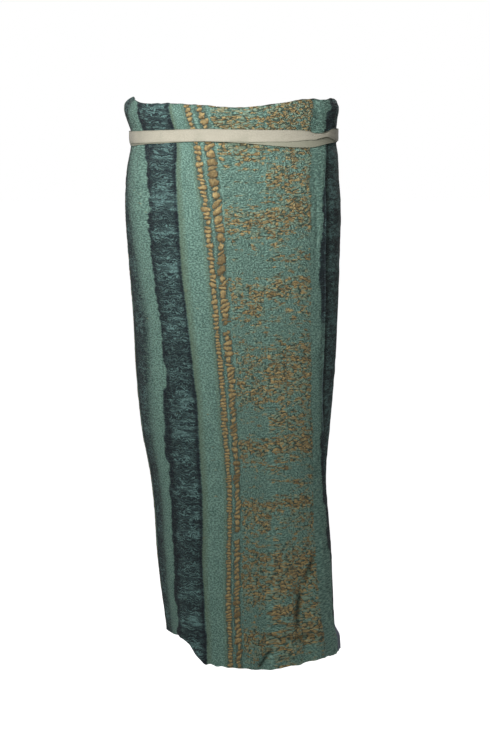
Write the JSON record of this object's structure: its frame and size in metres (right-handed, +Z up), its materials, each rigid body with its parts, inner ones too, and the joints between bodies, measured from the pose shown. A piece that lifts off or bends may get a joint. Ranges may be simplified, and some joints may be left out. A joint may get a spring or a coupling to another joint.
{
  "type": "maxi skirt",
  "caption": "Long straight wrap skirt of crinkled cloth in its worn form, open at waist and hem, held closed by a narrow tape wound round the waist.",
  "frame": {"origin": "centre of the waist, at the height of the tape's middle", "axes": "+Z up towards the skirt's top edge, -Y the front with the wrap's free edge, +X the viewer's right"},
  "size_m": [0.3727, 0.2678, 0.9677],
  "materials": {
    "crinkled_cloth": "matte crinkled cloth with lengthwise stripes of dark blue and gold",
    "cotton_tape": "matte twill tape"
  },
  "bodies": {
    "root": {"front_panel": "crinkled_cloth", "back_panel": "crinkled_cloth", "under_panel": "crinkled_cloth", "waist_tape": "cotton_tape"}
  },
  "joints": []
}
